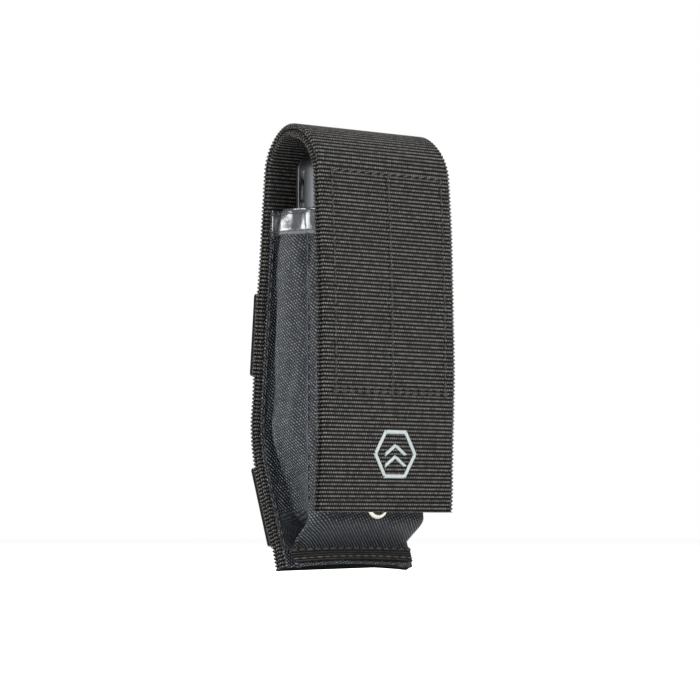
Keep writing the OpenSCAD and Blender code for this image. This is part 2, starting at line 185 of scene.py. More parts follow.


# Dyed nylon has almost no gloss, so nothing lightens the near-black shade painted in its grooves; bonded
# thread has a slight gloss on each stitch
nylon = {"Roughness": 0.75, "Specular_IOR_Level": 0.16}
thread = {"Roughness": 0.5, "Specular_IOR_Level": 0.35}
# Heavy webbing, woven in ribs, with painted shade in its grooves; the lining is the same cloth painted a
# little darker, as shade on the inner layer
webbingNylon = woven("wovenRibbedNylonWebbing", "#020202", "#454443", "#716f6c",
                     weave["ribPitch"], weave["yarn"], **nylon)
liningNylonShaded = woven("wovenRibbedNylonLiningShaded", "#010101", "#424140", "#6a6866",
                    weave["ribPitch"], weave["yarn"], **nylon)
# Ballistic nylon: thick flat yarns that lie on the slant, with a cold soft gloss on each float and painted
# shade in its grooves
gussetNylon = woven("wovenBallisticNylon", "#030304", "#444a51", "#737b83", 0.8, 0.95, 45, 0.4, 0.25,
                    Roughness=0.5, Specular_IOR_Level=0.22)
# Flat nylon tape: the same yarn in a finer, darker rib, with painted shade in its grooves
hemNylon = woven("wovenNylonTape", "#040404", "#262625", "#403f3d", 0.8, 0.7, **nylon)
# PVC coated binding, calendered smooth: hard bright reflections that its puckers break up; its grey base
# colour, lighter than the black tape, is partly painted reflection
bindingPvc = grained("calenderedPvcBinding", "#3a3d41", 2.0, 0.4, 0, 0.5, Roughness=0.26,
                     Specular_IOR_Level=0.7, Coat_Weight=0.7, Coat_Roughness=0.16)
# Barrel-plated brass: warm and bright
nickelPlate = grained("nickelPlatedBrass", "#e6e1d4", 0.3, 0.02, 0.07, 0.25, Metallic=1.0, Roughness=0.24)
# Black oxide over tumbled steel: satin grey where light reaches it, no sharp reflections
blackOxide = grained("blackOxideSteelTumbled", "#5e6063", 0.35, 0.02, 0.07, 0.25, Metallic=1.0,
                     Roughness=0.46)
# Bare hardened steel, ground: darker, with tighter reflections
darkSteel = grained("darkSteelGround", "#4a4a4b", 0.3, 0.02, 0.07, 0.25, Metallic=1.0, Roughness=0.32)
# Stainless steel off the grinder: the one bright blade
brightEdge = grained("stainlessSteelGround", "#b4b5b6", 0.3, 0.02, 0.07, 0.25, Metallic=1.0, Roughness=0.3)
# Twisted thread: fine ridges on every stitch
blackThread = grained("bondedNylonThreadBlack", "#2a2927", 0.25, 0.05, 0, 0.6, **thread)
dimThread = grained("bondedNylonThreadWorn", "#3a3937", 0.25, 0.05, 0, 0.6, **thread)
paleThread = grained("embroideryRayonPaleGrey", "#9fa6a7", 0.25, 0.05, 0, 0.6, **thread)
# Hook and loop: a dense dark nap
hookPile = grained("hookAndLoopPile", "#0e0e0e", 0.5, 0.4, 0, 1.0, Roughness=0.95, Specular_IOR_Level=0.15)
# Stoved enamel: even, half gloss, with a faint orange peel
snapEnamel = grained("blackEnamelStoved", "#141414", 1.2, 0.03, 0, 0.3, Roughness=0.28)
print("materials made")


def arc(centre, radius, low, high, step):
    angles = np.radians(np.linspace(low, high, max(2, int(abs(high - low) / step) + 1)))
    return [(centre[0] + radius * math.cos(a), centre[1] + radius * math.sin(a)) for a in angles]


# Side profile between the two webbing layers, from the foot up the back and over to the flap, as (y, z)
backTop = (crownY + pathRadius * math.cos(lean), crownZ + pathRadius * math.sin(lean))
bendCentre = (
    backTop[0] + (backTop[1] - sheath["bendTop"]) * math.tan(lean) - sheath["bendRadius"] * math.cos(lean),
    sheath["bendTop"] - sheath["bendRadius"] * math.sin(lean),
)
footTop = (
    bendCentre[0] + sheath["bendRadius"] * math.cos(footLean),
    bendCentre[1] - sheath["bendRadius"] * math.sin(footLean),
)
footLow = sheath["webThick"] * math.sin(footLean)
footEnd = (footTop[0] - (footTop[1] - footLow) * math.tan(footLean), footLow)


def backY(z):
    # y of the profile on the back, at a height
    if z > sheath["bendTop"]:
        return backTop[0] + (backTop[1] - z) * math.tan(lean)
    if z > footTop[1]:
        return bendCentre[0] + math.sqrt(sheath["bendRadius"] ** 2 - (z - bendCentre[1]) ** 2)
    return footEnd[0] + (z - footEnd[1]) * math.tan(footLean)


backPath = (
    [footEnd]
    + arc(bendCentre, sheath["bendRadius"], -sheath["footLean"], sheath["backLean"], 1.5)
    + arc((crownY, crownZ), pathRadius, sheath["backLean"], 90, 2.5)
)
flapPath = arc((crownY, crownZ), pathRadius, 90, 180, 2.5) + [
    (frontY + sheath["webThick"], crownZ - 0.5),
    (frontY + sheath["webThick"], sheath["flapEnd"]),
]


# How the cloth hangs, in mm: heights the flap bows about, how far, and the lift under the foot
hang = {
    "middle": 62,
    "above": 56,
    "below": 43,
    "topBow": 2.2,
    "endBow": 1.3,
    "liningClear": 0.3,
    "footLift": 1.2,
    "liftTop": 14,
}


def drape(points):
    # The flap bows: its top and bottom lie further back than its middle, and the crown goes with it
    shaped = np.array(points, float)
    y, z = shaped[:, 1], shaped[:, 2]
    above = np.clip(z - hang["middle"], 0, None) / hang["above"]
    below = np.clip(hang["middle"] - z, 0, None) / hang["below"]
    front = np.clip((backTop[0] - 2 - y) / (backTop[0] - 2 - frontY - 3), 0, 1)
    front = front * front * (3 - 2 * front)
    bow = hang["topBow"] * above**2 + hang["endBow"] * below**2
    shaped[:, 1] += front * bow * (z > sheath["flapEnd"] - 9)
    return shaped


def drapeLining(points):
    # the flap's lining hangs a little clear of its face
    shaped = drape(points)
    z = np.array(points, float)[:, 2]
    shaped[:, 1] += hang["liningClear"] * smoothStep(crownZ - z, 0, 12) * (np.array(points)[:, 1] < crownY)
    return shaped


def archFoot(points):
    # the sewn foot lifts a little in its middle, so it stands on its two corners
    shaped = np.array(points, float)
    across = np.clip(np.abs(shaped[:, 0]) / (sheath["webWidth"] / 2), 0, 1)
    shaped[:, 2] += hang["footLift"] * (1 - across**2) * (1 - smoothStep(shaped[:, 2], 0, hang["liftTop"]))
    return shaped


def drapeBack(points):
    return archFoot(drape(points))


def still(points):
    return np.array(points, float)


def alongPath(path, step):
    # even points on a polyline, with the distance along it
    corner = np.array(path, float)
    run = np.concatenate([[0], np.cumsum(np.linalg.norm(np.diff(corner, axis=0), axis=1))])
    count = max(2, int(round(run[-1] / step)) + 1)
    place = np.linspace(0, run[-1], count)
    return np.stack([np.interp(place, run, corner[:, k]) for k in range(corner.shape[1])], 1), place


def gridObject(name, points, uv, material, closedAcross, capped=False):
    # points: rows x columns x 3 in mm; uv: rows x columns x 2; faces follow the grid
    rows, columns = points.shape[:2]
    index = np.arange(rows * columns).reshape(rows, columns)
    wrapped = np.concatenate([index, index[:, :1]], 1) if closedAcross else index
    corner = [wrapped[:-1, :-1], wrapped[:-1, 1:], wrapped[1:, 1:], wrapped[1:, :-1]]
    faces = np.stack(corner, -1).reshape(-1, 4)
    uvWide = uv
    if closedAcross:  # the last column runs on to the first one
        lastStep = uv[0, -1, 0] - uv[0, -2, 0]
        uvWide = np.concatenate([uv, uv[:, :1] + [lastStep, 0]], 1)
    corners = np.stack([uvWide[:-1, :-1], uvWide[:-1, 1:], uvWide[1:, 1:], uvWide[1:, :-1]], 2).reshape(-1, 2)
    faceList, cornerList = faces.tolist(), corners
    if capped:
        faceList += [index[0, ::-1].tolist(), index[-1].tolist()]
        cornerList = np.concatenate([corners, uv[0, ::-1], uv[-1]])
    mesh = bpy.data.meshes.new(name)
    mesh.from_pydata((points.reshape(-1, 3) * mm).tolist(), [], faceList)
    layer = mesh.uv_layers.new(name="UVMap")
    layer.data.foreach_set("uv", cornerList.astype(np.float32).ravel())
    mesh.polygons.foreach_set("use_smooth", np.ones(len(mesh.polygons), bool))
    mesh.materials.append(material)
    made = bpy.data.objects.new(name, mesh)
    bpy.context.scene.collection.objects.link(made)
    return made


def outwardNormals(made):
    # turns every face of a closed mesh to point outwards
    work = bmesh.new()
    work.from_mesh(made.data)
    bmesh.ops.recalc_face_normals(work, faces=work.faces)
    work.to_mesh(made.data)
    work.free()
    return made


def smoothStep(value, low, high):
    t = np.clip((value - low) / (high - low), 0, 1)
    return t * t * (3 - 2 * t)


def waviness(place, scale, amount, seed):
    # smooth seeded noise along a line
    knots = np.random.default_rng(seed).normal(0, amount, int(np.max(place) / scale) + 4)
    t = np.asarray(place) / scale
    i = np.floor(t).astype(int)
    f = t - i
    f = f * f * (3 - 2 * f)
    return knots[i] * (1 - f) + knots[i + 1] * f


def ribbedStrip(name, line, side, width, low, high, material, shape=still,
                ribPitch=None, ribHeight=None, firstRib=0.0, seed=1, pulls=(), ties=()):
    # A strip of woven webbing along a line of points, between two offsets on its normal, with round edges.
    # side is the unit vector across the strip; the ribs run that way and wrap round the edges.
    ribPitch = ribPitch or weave["ribPitch"]
    ribHeight = weave["ribHeight"] if ribHeight is None else ribHeight
    samplesPerRib = 6
    centre, place = alongPath(line, ribPitch / samplesPerRib)
    side = np.array(side, float)
    tangent = np.gradient(centre, axis=0)
    tangent /= np.linalg.norm(tangent, axis=1)[:, None]
    normal = np.cross(side[None, :], tangent)
    rib = np.abs(np.sin(math.pi * (place + firstRib) / ribPitch)) ** 0.8
    half, thick = width / 2, high - low
    faceColumns, edgeColumns = 11, 5
    edge = np.radians(np.linspace(90, -90, edgeColumns + 2)[1:-1])
    roundness = thick / 2
    flat = np.linspace(-half + roundness, half - roundness, faceColumns)
    for x, _, _ in pulls:  # more columns where a seam pulls the webbing in
        flat = np.concatenate([flat, x + np.array([-1.1, -0.6, -0.25, 0.0, 0.25, 0.6, 1.1])])
    flat = np.unique(np.round(flat, 2))
    faceColumns = len(flat)
    rightEdge = half - roundness + roundness * np.cos(edge)
    leftEdge = -half + roundness - roundness * np.cos(edge)
    across = np.concatenate([flat, rightEdge, flat[::-1], leftEdge])
    face = np.full(faceColumns, 1.0)
    height = np.concatenate([face, np.sin(edge), -face, -np.sin(edge)]) * roundness
    outAcross = np.concatenate([np.zeros(faceColumns), np.cos(edge), np.zeros(faceColumns), -np.cos(edge)])
    outHeight = np.concatenate([np.ones(faceColumns), np.sin(edge), -np.ones(faceColumns), -np.sin(edge)])
    u = np.concatenate([[0], np.cumsum(np.hypot(np.diff(across), np.diff(height)))]) - half
    drop = ribHeight * (rib[:, None] - 1.0)  # grooves are cut in, so the strip keeps its size
    for x, first, last in pulls:  # a row of stitches sinks the face
        along = smoothStep(place, first - 0.5, first + 0.5) * (1 - smoothStep(place, last - 0.5, last + 0.5))
        nip = 0.55 + 0.45 * np.cos(2 * math.pi * place / seam["pitch"])
        near = np.exp(-(((across[None, :] - x) / 0.42) ** 2)) * (outHeight[None, :] > 0.5)
        drop = drop - weave["seamSink"] * (along * nip)[:, None] * near
    for at, reach in ties:  # a row across the strip
        near = (np.abs(across) < reach)[None, :] * (outHeight[None, :] > 0.5)
        drop = drop - weave["crossSink"] * np.exp(-(((place - at) / 0.55) ** 2))[:, None] * near
    # deeper between the beads of the selvedge
    drop = drop - weave["edgeSink"] * (1 - rib[:, None]) * (np.abs(outAcross) > 0.3)[None, :]
    onEdge = np.sign(across)[None, :] * (np.abs(across) > half * 0.9)
    edgeWander = waviness(place, 9.0, weave["edgeWander"], seed)[:, None] * onEdge
    a = across[None, :] + drop * outAcross[None, :] * 1.2 + edgeWander
    h = (low + high) / 2 + height[None, :] + drop * outHeight[None, :]
    points = centre[:, None, :] + side[None, None, :] * a[..., None] + normal[:, None, :] * h[..., None]
    rows, columns = a.shape
    points = shape(points.reshape(-1, 3)).reshape(rows, columns, 3)
    uv = np.stack([np.broadcast_to(u, a.shape), np.broadcast_to((place + firstRib)[:, None], a.shape)], -1)
    return outwardNormals(gridObject(name, points, uv, material, True, True))


def surfaceLine(yz, x, offset, step=2.0):
    # a line on the webbing's face: points on a side profile pushed out along its normal, at one x
    centre = alongPath(yz, step)[0]
    tangent = np.gradient(centre, axis=0)
    tangent /= np.linalg.norm(tangent, axis=1)[:, None]
    normal = np.stack([tangent[:, 1], -tangent[:, 0]], 1)
    line = centre + normal * offset
    return np.stack([np.full(len(line), x), line[:, 0], line[:, 1]], 1)


def inSpace(yz):
    return [(0.0, y, z) for y, z in yz]


# Geometry Nodes for thread
def threadTree(name, tube):
    # Either capsules set along a line, for lockstitches, or a tube that follows each line, for satin stitches
    tree = bpy.data.node_groups.new(name, "GeometryNodeTree")
    for title, kind in (("Geometry", "NodeSocketGeometry"), ("Pitch", "NodeSocketFloat"),
                        ("Stitch length", "NodeSocketFloat"), ("Thread radius", "NodeSocketFloat"),
                        ("Thread", "NodeSocketMaterial")):
        tree.interface.new_socket(title, in_out="INPUT", socket_type=kind)
    tree.interface.new_socket("Geometry", in_out="OUTPUT", socket_type="NodeSocketGeometry")
    given = tree.nodes.new("NodeGroupInput").outputs
    curve = addNode(tree, "GeometryNodeMeshToCurve", None, {"Mesh": given["Geometry"]})
    if tube:
        ring = addNode(tree, "GeometryNodeCurvePrimitiveCircle", None,
                       {"Resolution": 6, "Radius": given["Thread radius"]})
        shaped = addNode(tree, "GeometryNodeCurveToMesh", None,
                         {"Curve": curve, "Profile Curve": ring, "Fill Caps": True})
    else:
        spots = addNode(tree, "GeometryNodeCurveToPoints", {"mode": "LENGTH"},
                        {"Curve": curve, "Length": given["Pitch"]}, "Points")
        bead = addNode(tree, "GeometryNodeMeshUVSphere", None, {"Segments": 8, "Rings": 6, "Radius": 1.0})
        reach = addNode(tree, "ShaderNodeMath", {"operation": "MULTIPLY"},
                        {0: given["Stitch length"], 1: 0.5})
        size = addNode(tree, "ShaderNodeCombineXYZ", None,
                       {"X": given["Thread radius"], "Y": given["Thread radius"], "Z": reach})
        uneven = addNode(tree, "FunctionNodeRandomValue", {"data_type": "FLOAT"},
                         {"Min": 0.88, "Max": 1.12, "Seed": 3}, 1)
        wobble = addNode(tree, "ShaderNodeVectorMath", {"operation": "SCALE"}, {0: size, "Scale": uneven})
        shaped = addNode(tree, "GeometryNodeInstanceOnPoints", None,
                         {"Points": spots, "Instance": bead, "Scale": wobble,
                          "Rotation": spots.node.outputs["Rotation"]})
    smooth = addNode(tree, "GeometryNodeSetShadeSmooth", None, {0: shaped})
    real = addNode(tree, "GeometryNodeRealizeInstances", None, {"Geometry": smooth})
    dressed = addNode(tree, "GeometryNodeSetMaterial", None, {"Geometry": real, "Material": given["Thread"]})
    addNode(tree, "NodeGroupOutput", None, {0: dressed})
    return tree


lockstitch = threadTree("lockstitchRows", False)
satinStitch = threadTree("satinStitches", True)


def settle(made):
    # turns an object's modifiers into plain mesh
    evaluated = made.evaluated_get(bpy.context.evaluated_depsgraph_get())
    plain = bpy.data.meshes.new_from_object(evaluated)
    made.modifiers.clear()
    made.data = plain
    return made


def sewn(name, lines, tree, pitch, length, radius, thread):
    # lines: lists of points in mm; the result is a plain mesh
    points, edges = [], []
    for line in lines:
        start = len(points)
        points += [tuple(p * mm) for p in np.array(line, float)]
        edges += [(start + i, start + i + 1) for i in range(len(line) - 1)]
    mesh = bpy.data.meshes.new(name)
    mesh.from_pydata(points, edges, [])
    made = bpy.data.objects.new(name, mesh)
    bpy.context.scene.collection.objects.link(made)
    modifier = made.modifiers.new("thread", "NODES")
    modifier.node_group = tree
    values = {"Pitch": pitch * mm, "Stitch length": length * mm, "Thread radius": radius * mm,
              "Thread": thread}
    for item in tree.interface.items_tree:
        if item.in_out == "INPUT" and item.name in values:
            modifier[item.identifier] = values[item.name]
    made.data.update()
    settle(made)
    made.data.name = name
    return made


print("tools ready")

# What the sewing machine lays down, in mm; the box is the seam that holds the hook patch
seam = {
    "pitch": 2.9,
    "stitch": 2.2,
    "radius": 0.24,
    "inset": 2.6,
    "boxHalf": 21.0,
    "boxMiddle": 0.5,
    "boxLow": 53.0,
    "boxTop": 118.6,
    "flapHem": 21.4,
    "slantPitch": 3.0,
    "proud": 0.16,
}

# The folded webbing: back, crown and flap, two layers thick
# the layers stand a little apart, so the edge shows two rows of beads
layerGap, liningIn, flapLiningIn = 0.4, 2.0, 2.7
# the lining layer uses the webbing painted a little darker: painted shade
layers = {"Outer": (0.0, sheath["webThick"], webbingNylon), "Lining": (-liningIn, -layerGap, liningNylonShaded)}
acrossX = (-1, 0, 0)
for layer, (low, high, cloth) in layers.items():
    back = ribbedStrip("back" + layer + "Strip", inSpace(backPath), acrossX, sheath["webWidth"],
                       low, high, cloth, drapeBack, seed=3)
    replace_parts(back, "back_" + layer.lower() + "_webbing", "crown_" + layer.lower() + "_webbing")
    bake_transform(back)
    backLength = alongPath(backPath, 1.0)[1][-1]
    flapLength = alongPath(flapPath, 1.0)[1][-1]
    boxStart, boxEnd = (flapLength - (z - sheath["flapEnd"]) for z in (seam["boxTop"], seam["boxLow"]))
    boxSides, boxEnds, flapLow, flapShape = [], [], -flapLiningIn, drapeLining
    if layer == "Outer":
        boxSides = [(x, boxStart, boxEnd) for x in (-seam["boxHalf"], seam["boxMiddle"], seam["boxHalf"])]
        boxEnds = [(boxStart, seam["boxHalf"]), (boxEnd, seam["boxHalf"])]
        flapLow, flapShape = low, drape
    flap = ribbedStrip("flap" + layer + "Strip", inSpace(flapPath), acrossX, sheath["webWidth"],
                       flapLow, high, cloth, flapShape, firstRib=backLength % weave["ribPitch"], seed=5,
                       pulls=boxSides, ties=boxEnds)
    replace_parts(flap, "flap_" + layer.lower() + "_webbing", "crown_" + layer.lower() + "_webbing")
    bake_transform(flap)
print("webbing folded")

# Hook and loop
patch = {
    "half": 20.0,
    "top": 112.0,
    "low": 53.6,
    "hook": 1.0,
    "hookClear": 0.35,
    "loopTop": 99.4,
    "loopLow": 45.6,
    "loop": 1.9,
}


def pad(name, low, high, material, shape=still, rows=24):
    # a closed block in its place
    zs = np.linspace(low[2], high[2], rows)
    corners = [(low[0], low[1]), (high[0], low[1]), (high[0], high[1]), (low[0], high[1])]
    points = np.array([[(x, y, z) for x, y in corners] for z in zs], float)
    points = shape(points.reshape(-1, 3)).reshape(rows, 4, 3)
    around = np.array([0.0, 40, 42, 82])  # mm round the block, corner to corner
    uv = np.stack([np.broadcast_to(around, (rows, 4)), np.broadcast_to(zs[:, None], (rows, 4))], -1)
    made = gridObject(name, points, uv, material, True, True)
    made.data.polygons.foreach_set("use_smooth", np.zeros(len(made.data.polygons), bool))
    return outwardNormals(made)


flapInside = frontY + sheath["webThick"] + flapLiningIn + patch["hookClear"]
hook = pad("hookPatch", (-patch["half"], flapInside, patch["low"]),
           (patch["half"], flapInside + patch["hook"], patch["top"]), hookPile, drape)
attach(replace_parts(hook, "flap_hook_patch"), "flap")
loop = pad("loopPatch", (-patch["half"], pocketY - patch["loop"], patch["loopLow"]),
           (patch["half"], pocketY - 0.05, patch["loopTop"]), hookPile)
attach(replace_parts(loop, "pocket_loop_patch"), "sheath")

# The drain eyelet, in mm: radii, and how it sits; proud is how far its face stands before the pocket's
eyelet = {"outer": 4.1, "hole": 2.1, "roll": 0.62, "barrel": 0.4, "length": 2.4, "z": 19.9, "proud": 1.15}

# The pocket: one cloth wrapped round the front, with a flange sewn to each edge of the back
pocket = {
    "half": sheath["pocketWidth"] / 2 - 0.3,
    "flangeOut": 24.1,
    "valley": 4.0,  # how far the gusset tucks in beside the back
    "belly": 2.7,  # outward bulge of the gusset
    "footTuck": 9.0,  # inward box fold at the foot
    "lowTuck": 3.2,  # gentler tuck above that fold
    "slopeTop": 16.4,
    "hemTop": 5.0,
    "corner": 4.6,  # where the side turns into the front, behind the pocket's face
    "cloth": 0.7,
    "clothGap": 0.25,
    "crease": 0.22,
    "seamX": 23.3,
    "rows": 260,
    "columns": 190,
}


def gussetOutline(z):
    # half of the U in plan, from the back flange round the front corner to the middle of the front
    back = backY(z) - liningIn - pocket["clothGap"]
    closed = 1 - smoothStep(z, pocket["hemTop"], pocket["slopeTop"])

    def bring(y):
        return y * (1 - closed) + (back - 1.3) * closed

    corner = bring(pocketY + pocket["corner"])
    reach = back - corner
    share = min(1.0, reach / 10)
    half = pocket["half"]
    tuck = pocket["lowTuck"] * (1 - smoothStep(z, 24, 46)) + pocket["footTuck"] * (1 - smoothStep(z, 11, 19))
    tuck *= min(1.0, reach / 6)
    belly = pocket["belly"] * smoothStep(z, 20, 45) * (1 - 0.5 * smoothStep(z, 90, 108))
    valley = pocket["valley"] * share * (1 - 0.4 * smoothStep(z, 94, 106))
    sway = (0.45 * math.sin(z / 12.0) + 0.25 * math.sin(z / 5.3 + 1.3)) * share
    flangeRoot = pocket["flangeOut"] - 1.2 + 0.35 * math.sin(z / 4.1)
    outline = [(pocket["flangeOut"], back), (flangeRoot, back - 0.1)]
    for t in (0.05, 0.11, 0.18, 0.28, 0.4, 0.54, 0.68, 0.82, 0.93):
        inward = valley * math.exp(-(((t - 0.09) / 0.08) ** 2)) + tuck * math.sin(math.pi * t) ** 0.8
        bulge = (belly + sway) * math.sin(math.pi * min(1.0, t / 0.93)) ** 0.7
        outline.append((half + 0.8 * (1 - t) ** 8 + bulge - inward, back - 0.3 - t * (reach - 0.3)))
    return outline + [
        (half, corner),
        (half - 0.5, bring(pocketY + 2.5)),
        (half - 2.2, bring(pocketY + 0.6)),
        (half - 5.5, bring(pocketY - 0.1)),
        (half * 0.4, bring(pocketY - 0.5)),
        (0.0, bring(pocketY - 0.6)),
    ]


def smoothLine(points, count):
    # even points along a Catmull-Rom curve
    p = np.array(points, float)
    p = np.concatenate([[2 * p[0] - p[1]], p, [2 * p[-1] - p[-2]]])
    dense = []
    for i in range(1, len(p) - 2):
        for t in np.linspace(0, 1, 9)[:-1]:
            before, start, end, after = p[i - 1 : i + 3]
            bent = 2 * before - 5 * start + 4 * end - after
            dense.append(0.5 * (2 * start + (end - before) * t + bent * t * t
                                + (3 * start - before - 3 * end + after) * t**3))
    dense.append(p[-2])
    run = np.concatenate([[0], np.cumsum(np.linalg.norm(np.diff(dense, axis=0), axis=1))])
    place = np.linspace(0, run[-1], count)
    return np.stack([np.interp(place, run, np.array(dense)[:, k]) for k in (0, 1)], 1)


def creases(u, v, seed):
    # soft seeded hollows in the cloth, longer up and down than across
    source = np.random.default_rng(seed)
    total = np.zeros(np.broadcast(u, v).shape)
    for i in range(14):
        angle = source.normal(math.pi / 2, 0.5)
        wave = source.uniform(7, 22)
        start = source.uniform(0, 6.3)
        across = u * math.sin(angle) * 1.8 + v * math.cos(angle)
        total = total + np.sin(across * 2 * math.pi / wave + start) / 14**0.5
    return total


def pocketRing(z):
    outline = gussetOutline(z)
    full = [(-x, y) for x, y in outline] + [(x, y) for x, y in outline[-2::-1]]
    return smoothLine(full, pocket["columns"])


heights = np.linspace(1.2, sheath["mouth"], pocket["rows"])
rings = np.array([pocketRing(z) for z in heights])
points = np.concatenate([rings, np.broadcast_to(heights[:, None, None], rings.shape[:2] + (1,))], 2)
tangent = np.gradient(rings, axis=1)
tangent /= np.linalg.norm(tangent, axis=2)[..., None] + 1e-9
outward = np.stack([tangent[..., 1], -tangent[..., 0]], -1)
steps = np.linalg.norm(np.diff(rings, axis=1), axis=2)
perimeter = np.concatenate([np.zeros((len(rings), 1)), np.cumsum(steps, axis=1)], 1)
onSide = smoothStep(np.abs(rings[..., 0]), 17, 21) * smoothStep(24.0 - np.abs(rings[..., 0]), 0, 2)
swell = creases(perimeter, heights[:, None], 11) * pocket["crease"] * onSide
swell = swell * smoothStep(heights, 8, 25)[:, None]
points[..., :2] += outward * swell[..., None]
points = archFoot(points.reshape(-1, 3)).reshape(points.shape)
middleColumn = pocket["columns"] // 2
fromMiddle = perimeter - perimeter[:, middleColumn : middleColumn + 1]
climb = np.concatenate([[0], np.cumsum(np.linalg.norm(np.diff(points[:, middleColumn], axis=0), axis=1))])
uv = np.stack([fromMiddle, np.broadcast_to(climb[:, None], perimeter.shape)], -1)
pocketCloth = gridObject("pocketCloth", points, uv, gussetNylon, False)
punched = bmesh.new()  # the drain hole, hidden under the eyelet's flange
punched.from_mesh(pocketCloth.data)
holeRadius = (eyelet["hole"] + eyelet["barrel"] + 0.3) * mm
inHole = [v for v in punched.verts if v.co.y < pocketY * mm + 0.002
          and math.hypot(v.co.x, v.co.z - eyelet["z"] * mm) < holeRadius]
bmesh.ops.delete(punched, geom=inHole, context="VERTS")
punched.to_mesh(pocketCloth.data)
punched.free()
wall = pocketCloth.modifiers.new("wall", "SOLIDIFY")
wall.thickness, wall.offset = pocket["cloth"] * mm, 1.0
outwardNormals(settle(pocketCloth))
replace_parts(pocketCloth, "pocket_front", "left_gusset", "right_gusset")
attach(pocketCloth, "sheath")
print("pocket sewn")

# Glossy tape folded over the mouth
mouthTape = {"height": sheath["tapeHeight"], "lift": 0.5, "wall": 1.9}


def mouthBinding():
    tall = mouthTape["height"]
    # from the outer edge over the top to the inner edge, as (side, drop)
    section = [(1.0, -tall), (1.0, -tall * 0.75), (1.0, -tall * 0.5), (1.0, -tall * 0.25), (1.0, -0.9),
               (0.8, -0.25), (0.35, 0.22), (-0.35, 0.22), (-0.8, -0.25), (-1.0, -0.9), (-1.0, -tall * 0.5),
               (-1.0, -tall)]
    rows = []
    for k, (side, drop) in enumerate(section):
        ring = pocketRing(sheath["mouth"] + min(drop, -0.01))
        run = np.concatenate([[0], np.cumsum(np.linalg.norm(np.diff(ring, axis=0), axis=1))])
        direction = np.gradient(ring, axis=0)
        direction /= np.linalg.norm(direction, axis=1)[:, None]
        away = np.stack([direction[:, 1], -direction[:, 0]], 1)
        pucker = waviness(run, 3.4, 0.16, 20 + k // 2) + waviness(run, 1.3, 0.06, 40 + k // 2)
        shift = side * (mouthTape["wall"] / 2 + mouthTape["lift"] * 0.4) + pucker * (side > 0.5)
        z = sheath["mouth"] + drop + waviness(run, 6, 0.12, 61)
        rows.append(np.stack([ring[:, 0] + away[:, 0] * shift, ring[:, 1] + away[:, 1] * shift, z], 1))
    grid = np.array(rows).transpose(1, 0, 2)
    u = np.broadcast_to(run[:, None], grid.shape[:2])
    v = np.broadcast_to(np.linspace(0, 17, len(section))[None, :], grid.shape[:2])
    made = gridObject("mouthBinding", grid, np.stack([u, v], -1), bindingPvc, True, True)
    return outwardNormals(made), ring, away


binding, mouthRing, mouthAway = mouthBinding()
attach(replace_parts(binding, "mouth_tape"), "sheath")

# Hem tape along the foot
footDirection = np.array([math.sin(footLean), math.cos(footLean)])  # up along the foot, as (y, z)
footNormal = np.array([math.cos(footLean), -math.sin(footLean)])
hemTape = {"height": 5.2, "thick": 0.75, "width": 46.0, "ribPitch": 0.8, "ribHeight": 0.22}


def onFoot(up, out):
    # a point on the foot: up along the webbing from its lower edge, out from the profile line
    y, z = np.array(footEnd) + footDirection * up + footNormal * out
    return 0.0, y, z


hemOut = -4.75
hem = ribbedStrip("hemTapeStrip", [onFoot(0.5, hemOut), onFoot(hemTape["height"], hemOut)], acrossX,
                  hemTape["width"], -hemTape["thick"] / 2, hemTape["thick"] / 2, hemNylon, archFoot,
                  ribPitch=hemTape["ribPitch"], ribHeight=hemTape["ribHeight"])
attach(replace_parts(hem, "hem_tape"), "sheath")

# Drain eyelet: a rolled brass flange with a drawn barrel


def lathe(name, section, centre, axis, material, turns=48):
    # section: (radius, height) in mm round a closed outline; axis is where +height points
    spin = Vector((0, 0, 1)).rotation_difference(Vector(axis)).to_matrix()
    angles = np.linspace(0, 2 * math.pi, turns, endpoint=False)
    rows = []
    section = section + section[:1]
    for angle in angles:
        turned = [Vector((r * math.cos(angle), r * math.sin(angle), h)) for r, h in section]
        rows.append([list(spin @ point + Vector(centre)) for point in turned])
    rows.append(rows[0])
    grid = np.array(rows)
    u = np.broadcast_to(np.linspace(0, 30, len(rows))[:, None], grid.shape[:2])
    v = np.broadcast_to(np.arange(len(section))[None, :], grid.shape[:2])
    made = gridObject(name, grid, np.stack([u, v], -1), material, True)
    work = bmesh.new()
    work.from_mesh(made.data)
    bmesh.ops.remove_doubles(work, verts=work.verts, dist=1e-6)
    bmesh.ops.recalc_face_normals(work, faces=work.faces)
    work.to_mesh(made.data)
    work.free()
    return made


def eyeletSection():
    # a rolled flange and the barrel drawn from it, as (radius, height)
    middle, half = (eyelet["hole"] + eyelet["outer"]) / 2, (eyelet["outer"] - eyelet["hole"]) / 2
    angles = np.radians(np.linspace(0, 180, 13))
    rolled = [(middle + half * math.cos(a), 0.33 + eyelet["roll"] * math.sin(a)) for a in angles]
    barrel, end = eyelet["hole"] + eyelet["barrel"], -eyelet["length"]
    return [(eyelet["outer"], 0.0)] + rolled + [(eyelet["hole"], end), (barrel, end), (barrel, 0.0)]


eyeletFace = lathe("eyeletFlange", eyeletSection(), (0, pocketY - eyelet["proud"], eyelet["z"]), (0, -1, 0),
                   nickelPlate)
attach(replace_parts(eyeletFace, "drain_eyelet"), "sheath")

# Carrying rows, strap and tail on the back
rowRise = sheath["strapThick"] + 0.3
strapIn = sheath["webThick"] + 0.1


def backFrame(z, onTheFoot):
    # origin, up and outward directions of the back's outer face at a height
    angle = -footLean if onTheFoot else lean
    out = np.array([math.cos(angle), math.sin(angle)])
    up = np.array([-math.sin(angle), math.cos(angle)])
    return np.array([backY(z), z]), up, out


